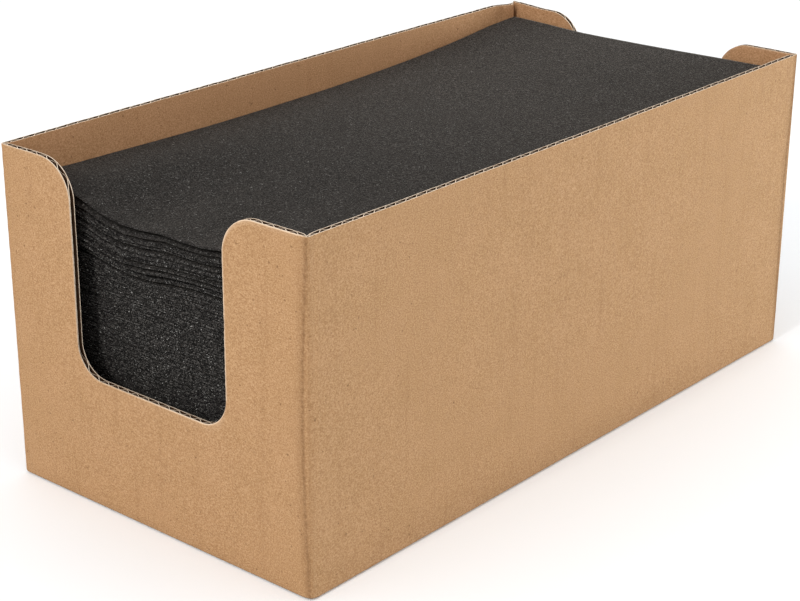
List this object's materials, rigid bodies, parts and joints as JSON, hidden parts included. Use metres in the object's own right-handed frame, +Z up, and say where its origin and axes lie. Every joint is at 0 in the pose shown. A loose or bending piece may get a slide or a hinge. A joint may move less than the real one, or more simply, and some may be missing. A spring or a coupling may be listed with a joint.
{
  "type": "napkin dispenser",
  "caption": "Open-topped kraft board carton with a U-shaped finger notch in each end wall, holding a stack of folded black napkins that are drawn out one at a time from the top.",
  "frame": {"origin": "under the middle of the carton's outline, glue tab included, on the surface that it stands on", "axes": "+X across the carton to its right wall, +Y along it from the front end to the rear end, +Z up"},
  "size_m": [0.105, 0.21, 0.0905],
  "materials": {
    "kraft_board": "matte",
    "adhesive": "satin",
    "napkin": "matte"
  },
  "bodies": {
    "carton": {"front_panel": "kraft_board", "rear_panel": "kraft_board", "left_panel": "kraft_board", "right_panel": "kraft_board", "glue_tab": "kraft_board", "left_bottom_flap": "kraft_board", "right_bottom_flap": "kraft_board", "front_bottom_flap": "kraft_board", "rear_bottom_flap": "kraft_board", "tab_glue": "adhesive"},
    "refill": {"napkin_01": "napkin", "napkin_02": "napkin", "napkin_03": "napkin", "napkin_04": "napkin", "napkin_05": "napkin", "napkin_06": "napkin", "napkin_07": "napkin", "napkin_08": "napkin", "napkin_09": "napkin", "napkin_10": "napkin", "napkin_11": "napkin", "napkin_12": "napkin", "napkin_13": "napkin", "napkin_14": "napkin", "napkin_15": "napkin", "napkin_16": "napkin", "napkin_17": "napkin", "napkin_18": "napkin", "napkin_19": "napkin", "napkin_20": "napkin", "napkin_21": "napkin", "napkin_22": "napkin", "napkin_23": "napkin", "napkin_24": "napkin", "napkin_25": "napkin", "napkin_26": "napkin", "napkin_27": "napkin", "napkin_28": "napkin", "napkin_29": "napkin", "napkin_30": "napkin", "napkin_31": "napkin", "napkin_32": "napkin", "napkin_33": "napkin", "napkin_34": "napkin", "napkin_35": "napkin", "napkin_36": "napkin", "napkin_37": "napkin", "napkin_38": "napkin", "napkin_39": "napkin", "napkin_40": "napkin", "napkin_41": "napkin", "napkin_42": "napkin", "napkin_43": "napkin", "napkin_44": "napkin", "napkin_45": "napkin", "napkin_46": "napkin", "napkin_47": "napkin"},
    "third_napkin": {"napkin_48": "napkin"},
    "second_napkin": {"napkin_49": "napkin"},
    "top_napkin": {"napkin_50": "napkin"}
  },
  "joints": [
    {"name": "refill_lift", "type": "slide", "parent": "carton", "child": "refill", "axis": [0, 0, 1], "range_m": [0, 0.1]},
    {"name": "third_napkin_pull", "type": "slide", "parent": "refill", "child": "third_napkin", "axis": [0, 0, 1], "range_m": [0, 0.03]},
    {"name": "second_napkin_pull", "type": "slide", "parent": "third_napkin", "child": "second_napkin", "axis": [0, 0, 1], "range_m": [0, 0.03]},
    {"name": "top_napkin_pull", "type": "slide", "parent": "second_napkin", "child": "top_napkin", "axis": [0, 0, 1], "range_m": [0, 0.03]}
  ]
}
